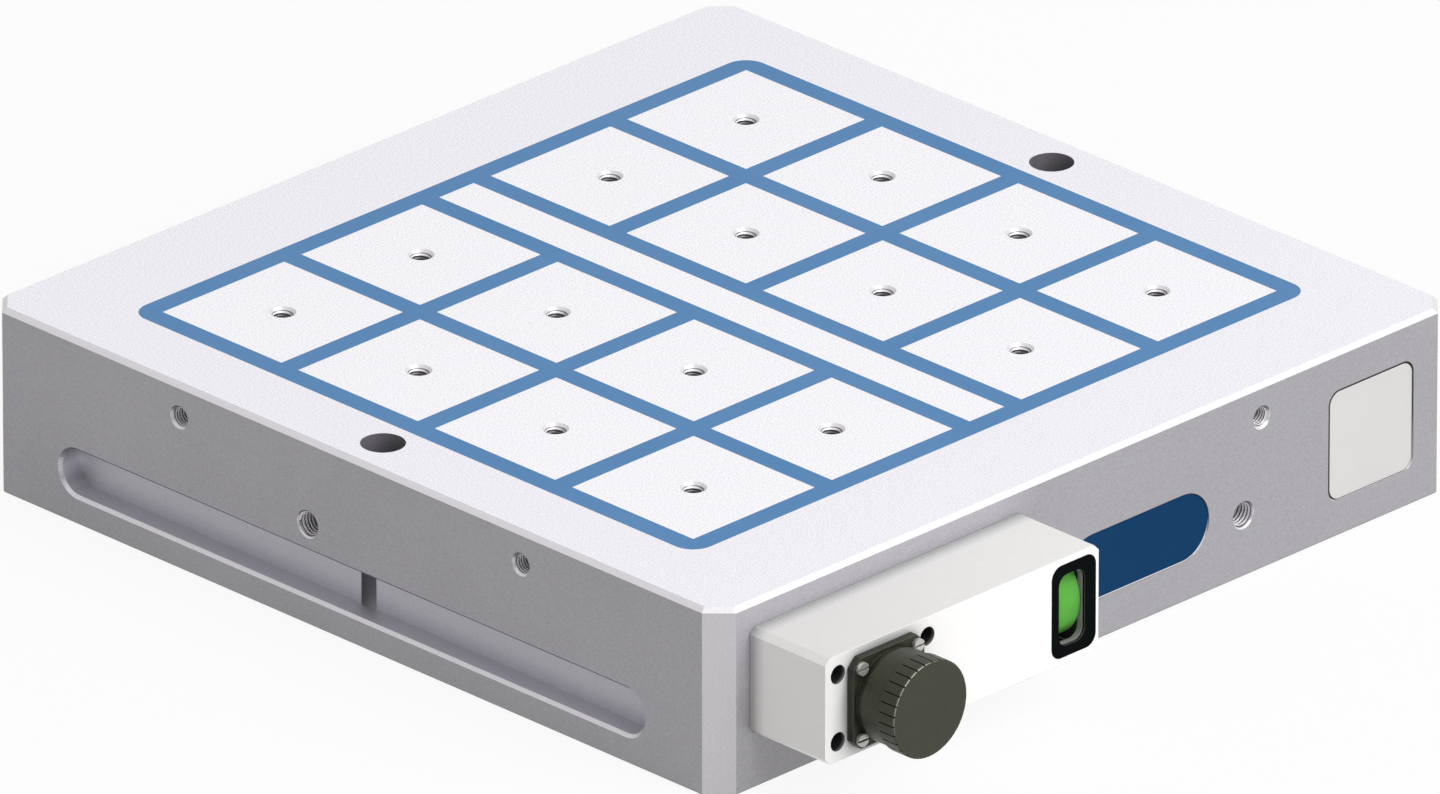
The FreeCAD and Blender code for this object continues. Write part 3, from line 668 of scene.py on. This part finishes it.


# Painted light on slopes that look up, painted shade on slopes that look down
upSlopePaintedLightLayer = (upSlopePaintedLightMask, steelLook["upSlopePaintedLight"], 0.38, 0.06)
underLayer = (downSlopePaintedShadeMask, steelLook["under"], 0.5, 0.06)
groundLayer = (topMask, steelLook["ground"], 0.38, 0.22)
poleLayer = (topMask, steelLook["poleGround"], 0.38, 0.25)
finishes = {
    "body_steel": makeSteel(
        "plateSteel",
        (cornerPaintedHighlightMask, steelLook["corner"], 0.45, 0.08),
        (slotMask, steelLook["slotLowPaintedLight"], 0.5, 0.08),
        (slotPaintedGradientMask, steelLook["slotHighPaintedLight"], 0.45, 0.08),
        (boltHoleMask, steelLook["boltHolePaintedShade"], 0.5, 0.05),
        (boltHoleLowPaintedLightMask, steelLook["boltHoleLowPaintedLight"], 0.5, 0.05),
        upSlopePaintedLightLayer, underLayer,
        (slotEndPaintedShadeMask, steelLook["slotEndPaintedShade"], 0.5, 0.08),
        (slotBandPaintedHighlightMask, steelLook["slotBandPaintedHighlight"], 0.45, 0.08),
        groundLayer, areas=((boxBouncePaintedLightMask, steelLook["boxBouncePaintedLight"]),)
    ),
    "pole_steel": makeSteel(
        "poleSteel", upSlopePaintedLightLayer, (poleHolePaintedShadeMask, steelLook["poleHolePaintedShade"], 0.45, 0.05), poleLayer
    ),
    "potting_blue": makeFinish(
        "pottingResin", colour=(0.048, 0.205, 0.455), mottleColour=(0.044, 0.195, 0.44),
        roughness=(0.34, 0.44), specular=0.35, grainSize=700.0, bump=0.08, shade=0.0, edgeRadius=0.0001
    ),
    "magnet_alloy": makeFinish("castMagnet", colour=(0.30, 0.29, 0.28), metallic=0.8, bump=0.5),
    "coil_copper": makeFinish(
        "enamelledCopper", colour=(0.55, 0.20, 0.08), metallic=0.8, roughness=(0.25, 0.35)
    ),
    "magnet_plating": makeFinish(
        "nickelPlate", colour=(0.62, 0.60, 0.56), metallic=1.0, roughness=(0.2, 0.3)
    ),
    "black_screw_steel": makeFinish("blackedScrew", colour=(0.03, 0.03, 0.032), metallic=0.6),
    "box_aluminium": makeFinish(
        "brightBox", colour=(0.89, 0.882, 0.87), mottleColour=(0.875, 0.867, 0.855), metallic=0.1,
        roughness=(0.45, 0.55), grainSize=1800.0, speckle=0.04, bump=0.1, shade=1.2, shadeReach=0.0065,
        edgeRadius=0.0003,
        areas=((boxEndPaintedShadeMask, (0.79, 0.775, 0.76)), (boxTopPaintedShadeMask, (0.76, 0.75, 0.74))),
        layers=((sinkPaintedShadeMask, (0.02, 0.02, 0.02), 0.6, 0.0),)
    ),
    "black_rubber": makeFinish("blackRubber", colour=(0.02, 0.02, 0.02), roughness=(0.6, 0.75), bump=0.3),
    "grey_rubber": makeFinish("greyRubber", colour=(0.42, 0.42, 0.42), roughness=(0.6, 0.75), bump=0.3),
    "connector_olive": makeFinish(
        "oliveConnector", colour=(0.045, 0.048, 0.033), mottleColour=(0.042, 0.045, 0.031),
        edgeColour=(0.13, 0.137, 0.10), metallic=0.25, specular=0.2, roughness=(0.36, 0.46),
        grainSize=1800.0, speckle=0.20, bump=0.1, edgeRadius=0.0002, shade=0.6, shadeReach=0.003,
        layers=(
            (capRimPaintedHighlightMask, (0.27, 0.285, 0.225), 0.3, 0.1),
            (capGroovePaintedShadeMask, (0.004, 0.004, 0.004), 0.6, 0.0),
        )
    ),
    "insert_plastic": makeFinish("insertPlastic", colour=(0.03, 0.03, 0.033)),
    "contact_gold": makeFinish(
        "goldContact", colour=(0.85, 0.60, 0.22), metallic=1.0, roughness=(0.16, 0.24)
    ),
    "zinc_screw": makeFinish(
        "zincScrew", colour=(0.58, 0.57, 0.54), mottleColour=(0.50, 0.49, 0.46), metallic=0.6,
        roughness=(0.28, 0.42), mottleSize=400.0, edgeRadius=0.00015, shade=0.85, shadeReach=0.0015,
        shadeGroup=ownShadeGroup
    ),
    "lead_jacket": makeFinish("leadJacket", colour=(0.45, 0.03, 0.02)),
    "bezel_black": makeFinish(
        "bezelBlack", colour=(0.0012, 0.0024, 0.0024), edgeColour=(0.004, 0.004, 0.004), specular=0.02,
        roughness=(0.5, 0.6), edgeRadius=0.0002,
        layers=((sightWallGreyAndPaintedLightMask, (0.125, 0.092, 0.104), 0.5, 0.0),)
    ),
    "housing_grey": makeFinish(
        "greyHousing", colour=(0.25, 0.235, 0.235), edgeColour=(0.36, 0.35, 0.35), specular=0.3,
        edgeRadius=0.0006, shade=0.0, layers=((deepHousingPaintedShadeMask, (0.004, 0.004, 0.004), 0.8, 0.0),)
    ),
    "window_clear": makePane("clearPane"),
    "drum_green": makeFinish(
        "drumGreen", colour=(0.095, 0.36, 0.050), roughness=(0.45, 0.5), specular=0.1, bump=0.05, shade=0.0
    ),
    "drum_red": makeFinish(
        "drumRed", colour=(0.70, 0.02, 0.015), roughness=(0.45, 0.5), specular=0.15, bump=0.05
    ),
    "shaft_steel": makeFinish("shaftSteel", colour=(0.60, 0.60, 0.61), metallic=1.0, roughness=(0.2, 0.3)),
    "name_plate_blue": makeFinish(
        "plateBlue", colour=(0.003, 0.040, 0.115), mottleColour=(0.0028, 0.038, 0.11), specular=0.05,
        roughness=(0.5, 0.6), bump=0.05, edgeRadius=0.0001, edgeWear=0.0, shade=0.2,
        layers=(
            (nameTopRimPaintedShadeMask, (0.02, 0.012, 0.03), 0.5, 0.0),
            (nameLowRimPaintedHighlightMask, (0.80, 0.76, 0.77), 0.4, 0.0),
        )
    ),
    "info_plate_silver": makeFinish(
        "plateSilver", colour=(0.665, 0.65, 0.64), metallic=0.3, roughness=(0.38, 0.48), grainSize=1600.0,
        speckle=0.015, bump=0.08, edgeRadius=0.0001, edgeWear=0.0, shade=0.2,
        layers=(
            (infoRimPaintedShadeMask, (0.012, 0.011, 0.012), 0.5, 0.0),
            (infoLowRimPaintedHighlightMask, (0.85, 0.83, 0.84), 0.4, 0.0),
        )
    ),
}


# Thread steel, dark as painted shade inside the holes, with painted highlights on the crests
def makeThreadSteel(name, colour, shade):
    return makeFinish(
        name, colour=colour, metallic=0.2, roughness=(0.3, 0.4), grainSize=1300.0, bump=0.02,
        edgeRadius=0.00002, edgeWear=0.0, shade=shade, shadeReach=0.002,
        layers=((crestPaintedHighlightMask, (0.95, 0.93, 0.96), 0.3, 0.0),)
    )


poleThreadSteel = makeThreadSteel("poleThreadSteel", (0.055, 0.048, 0.060), 0.3)
sideThreadSteel = makeThreadSteel("sideThreadSteel", (0.11, 0.10, 0.115), 0.0)


def dressNodes():
    slots = {row["node"]: row["material_slot"] for row in frame["record"]["subparts"]}
    for name, obj in nodes.items():
        obj.data.materials.clear()
        obj.data.materials.append(finishes[slots[name]])


dressNodes()
print("finishes placed on the frame's nodes")


# New pieces

sharpAngle = math.radians(30)


def addPiece(name, bm, slotName, body, material=None):
    mesh = bpy.data.meshes.new(name)
    bm.to_mesh(mesh)
    bm.free()
    mesh.polygons.foreach_set("use_smooth", [True] * len(mesh.polygons))
    mesh.set_sharp_from_angle(angle=sharpAngle)
    piece = bpy.data.objects.new(name, mesh)
    bpy.context.scene.collection.objects.link(piece)
    mesh.materials.append(material or finishes[slotName])
    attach(piece, body)
    return piece


# Matrix that takes local +Z to a direction and the origin to a place
def aimed(place, direction):
    return Matrix.Translation(place) @ Vector(direction).to_track_quat("Z", "Y").to_matrix().to_4x4()


threadLook = {
    "stepsPerTurn": 30,
    "sunk": 0.05 * mm,          # how far the ridge starts inside the wall
    "flank": 0.46,              # half the ridge's foot as a share of the pitch
    "riseDepth": 3.0 * mm,      # where the crests' painted highlight is as bright as it gets
}


# Thread ridge along local +Z, made once for each size. Its crests carry the mark of a painted highlight
def makeTurns(tap):
    bm = bmesh.new()
    crest = bm.verts.layers.float.new("crest")
    steps = threadLook["stepsPerTurn"]
    turns = (tap["end"] - tap["start"]) / tap["pitch"]
    outwards = 1 if tap["wall"] > tap["crest"] else -1
    foot = tap["wall"] + outwards * threadLook["sunk"]
    half = threadLook["flank"] * tap["pitch"]
    flat = tap["flat"] * tap["pitch"]
    rows = ((foot, -half), (tap["crest"], -flat), (tap["crest"], flat), (foot, half))
    section = [bm.verts.new((radius, 0, tap["start"] + shift)) for radius, shift in rows]
    ring = [bm.edges.new((section[i], section[(i + 1) % 4])) for i in range(4)]
    made = bmesh.ops.spin(
        bm, geom=section + ring, cent=(0, 0, 0), axis=(0, 0, 1), dvec=(0, 0, tap["pitch"] / steps),
        angle=2 * math.pi * turns, steps=round(steps * turns), use_merge=False, use_duplicate=False
    )
    bm.faces.new(section)
    bm.faces.new([v for v in made["geom_last"] if isinstance(v, bmesh.types.BMVert)])
    bmesh.ops.recalc_face_normals(bm, faces=bm.faces)
    for v in bm.verts:
        radius = v.co.xy.length
        risen = min(1, max(0, v.co.z / threadLook["riseDepth"]))
        bright = tap["mouthBright"] + (1 - tap["mouthBright"]) * risen
        faded = math.exp(-max(0, v.co.z - tap["brightFrom"]) / tap["brightFade"])
        v[crest] = (foot - radius) / (foot - tap["crest"]) * bright * faded
        cone = tap["wall"] + tap["flare"] - v.co.z + threadLook["sunk"]
        if outwards > 0 and radius < cone:
            v.co.xy *= cone / radius
        v.co.z = max(v.co.z, threadLook["sunk"])
    mesh = bpy.data.meshes.new("turns")
    bm.to_mesh(mesh)
    bm.free()
    return mesh


# Copy of a ridge from the mouth of a hole inwards
def addTurns(bm, turns, mouth, inward):
    count = len(bm.verts)
    bm.from_mesh(turns)
    bm.verts.ensure_lookup_table()
    bmesh.ops.transform(bm, matrix=aimed(mouth, inward), verts=bm.verts[count:])


# Flare is how deep the countersink is, flat is half the ridge's crest as a share of the pitch.
# The crests' painted highlight starts at mouthBright, and fades below brightFrom
tapLook = {
    "pole": {
        "wall": 3.0 * mm, "crest": 2.7 * mm, "pitch": 1.25 * mm, "flare": 1.0 * mm, "start": 0.88 * mm,
        "end": 11.2 * mm, "flat": 0.18, "mouthBright": 1.0, "brightFrom": 1.65 * mm, "brightFade": 1.5 * mm
    },
    "m6": {
        "wall": 3.0 * mm, "crest": 2.6 * mm, "pitch": 1.0 * mm, "flare": 0.75 * mm, "start": 0.52 * mm,
        "end": 11.4 * mm, "flat": 0.2, "mouthBright": 0.6, "brightFrom": 3.0 * mm, "brightFade": 12.0 * mm
    },
    "m8": {
        "wall": 4.0 * mm, "crest": 3.5 * mm, "pitch": 1.25 * mm, "flare": 0.45 * mm, "start": 0.63 * mm,
        "end": 15.2 * mm, "flat": 0.2, "mouthBright": 0.65, "brightFrom": 3.0 * mm, "brightFade": 15.0 * mm
    },
    "barrel": {
        "wall": 12.4 * mm, "crest": 12.62 * mm, "pitch": 1.5 * mm, "flare": 0.0, "start": 1.2 * mm,
        "end": 9.0 * mm, "flat": 0.18, "mouthBright": 1.0, "brightFrom": 0.0, "brightFade": 40.0 * mm
    },
}


# Point of a side face that a hole's axis meets
def mouthOf(place, axis):
    mouth = Vector(place)
    for i in range(3):
        if abs(axis[i]) > 0.5:
            mouth[i] = plateHigh[i] if axis[i] > 0 else plateLow[i]
    return mouth


def addPoleThreads():
    bm = bmesh.new()
    turns = makeTurns(tapLook["pole"])
    for name in nodes:
        if name.startswith("pole_row"):
            low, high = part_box(name)
            centre = (low + high) / 2
            addTurns(bm, turns, (centre.x, centre.y, high.z), (0, 0, -1))
    bpy.data.meshes.remove(turns)
    addPiece("poleThreads", bm, "pole_steel", "chuck", poleThreadSteel)


def addSideThreads():
    bm = bmesh.new()
    small, large = makeTurns(tapLook["m6"]), makeTurns(tapLook["m8"])
    for mount in frame["record"]["mounts"]:
        name, axis = mount["name"], Vector(mount["axis"])
        mouth = mouthOf(mount["pos_m"], axis)
        if name.startswith("stop_taps"):
            across = Vector((abs(axis.y), abs(axis.x), 0)) * (mount["dims"]["spacing_x_mm"] * mm / 2)
            addTurns(bm, small, mouth + across, -axis)
            addTurns(bm, small, mouth - across, -axis)
        elif name.startswith("stop_tap"):
            addTurns(bm, small, mouth, -axis)
        elif name.startswith("lift_tap"):
            addTurns(bm, large, mouth, -axis)
    bpy.data.meshes.remove(small)
    bpy.data.meshes.remove(large)
    addPiece("sideThreads", bm, "body_steel", "chuck", sideThreadSteel)


# Outside thread of the receptacle's barrel, seen when the cap is off
def addBarrelThread():
    bm = bmesh.new()
    turns = makeTurns(tapLook["barrel"])
    addTurns(bm, turns, (connectorX, shellLow.y, connectorZ), (0, 1, 0))
    bpy.data.meshes.remove(turns)
    addPiece("barrelThread", bm, "connector_olive", "chuck")


addPoleThreads()
addSideThreads()
addBarrelThread()
print("threads cut")


# Floor, light and camera

stageLook = {
    "floorColour": (0.88, 0.88, 0.88),
    "floorSize": 8.0,
    "floorDrop": 0.2 * mm,
    "seenWhite": 0.90,          # share of plain white that the camera sees on the floor
    "worldStrength": 0.46,
    "keyPower": 75.0,
    "keySize": 3.0,
    "keyDistance": 3.0,
    "keyAzimuth": 7.0,
    "keyElevation": 42.0,
}


# 1 for what the camera, gloss and clear panes see, so that they show a white room
def seenMask(tree):
    path = addNode(tree, "ShaderNodeLightPath").outputs
    seen = combine(tree, "MAXIMUM", path["Is Camera Ray"], path["Is Glossy Ray"])
    return combine(tree, "MAXIMUM", seen, path["Is Transmission Ray"])


def addFloor():
    half = stageLook["floorSize"] / 2
    bm = bmesh.new()
    bmesh.ops.create_grid(bm, x_segments=1, y_segments=1, size=half)
    bmesh.ops.translate(bm, verts=bm.verts, vec=(0, 0, -stageLook["floorDrop"]))
    mesh = bpy.data.meshes.new("floor")
    bm.to_mesh(mesh)
    bm.free()
    floor = bpy.data.objects.new("floor", mesh)
    bpy.context.scene.collection.objects.link(floor)
    material, tree = newTree("paleFloor")
    diffuse = addNode(tree, "ShaderNodeBsdfDiffuse", {"Color": (*stageLook["floorColour"], 1.0)})
    white = addNode(tree, "ShaderNodeEmission", {"Strength": 1.0})
    blend = addNode(tree, "ShaderNodeMixShader")
    out = addNode(tree, "ShaderNodeOutputMaterial")
    link(tree, combine(tree, "MULTIPLY", seenMask(tree), stageLook["seenWhite"]), blend.inputs["Fac"])
    link(tree, diffuse.outputs["BSDF"], blend.inputs[1])
    link(tree, white.outputs["Emission"], blend.inputs[2])
    link(tree, blend.outputs["Shader"], out.inputs["Surface"])
    mesh.materials.append(material)


def setWorld():
    world = bpy.data.worlds.new("studio")
    world.use_nodes = True
    tree = world.node_tree
    tree.nodes.clear()
    strength = mapped(tree, seenMask(tree), stageLook["worldStrength"], 1.0, 0.0, 1.0)
    sky = addNode(tree, "ShaderNodeBackground", {"Color": (1.0, 1.0, 1.0, 1.0)})
    out = addNode(tree, "ShaderNodeOutputWorld")
    link(tree, strength, sky.inputs["Strength"])
    link(tree, sky.outputs["Background"], out.inputs["Surface"])
    bpy.context.scene.world = world


# Direction to a place at an azimuth and an elevation: azimuth 0 is in front, 90 to the right
def towards(azimuth, elevation):
    a, e = math.radians(azimuth), math.radians(elevation)
    return Vector((math.sin(a) * math.cos(e), -math.cos(a) * math.cos(e), math.sin(e)))


def addKeyLight():
    lamp = bpy.data.lights.new("keyLight", "AREA")
    lamp.energy = stageLook["keyPower"]
    lamp.size = stageLook["keySize"]
    lamp.shape = "DISK"
    direction = towards(stageLook["keyAzimuth"], stageLook["keyElevation"])
    obj = bpy.data.objects.new("keyLight", lamp)
    obj.location = direction * stageLook["keyDistance"]
    obj.rotation_euler = direction.to_track_quat("Z", "Y").to_euler()
    bpy.context.scene.collection.objects.link(obj)


cameraLook = {
    "lens": 940.0,              # a long lens, because the picture's edges run parallel
    "sensor": 36.0,
    "frameWidth": 0.4247,       # what the picture's width spans at the object
    "azimuth": -44.93,
    "elevation": 25.04,
    "target": (0.0, 0.0, 0.0289),
    "clipStart": 0.5,
    "clipEnd": 40.0,
}


def addCamera():
    look = cameraLook
    camera = bpy.data.cameras.new("camera")
    camera.lens = look["lens"]
    camera.sensor_width = look["sensor"]
    camera.clip_start = look["clipStart"]
    camera.clip_end = look["clipEnd"]
    obj = bpy.data.objects.new("camera", camera)
    direction = towards(look["azimuth"], look["elevation"])
    distance = look["frameWidth"] * look["lens"] / look["sensor"]
    obj.location = Vector(look["target"]) + direction * distance
    obj.rotation_euler = direction.to_track_quat("Z", "Y").to_euler()
    bpy.context.scene.collection.objects.link(obj)
    bpy.context.scene.camera = obj


addFloor()
setWorld()
addKeyLight()
addCamera()
bpy.context.scene.view_settings.view_transform = "Standard"
print("stage, light and camera set")
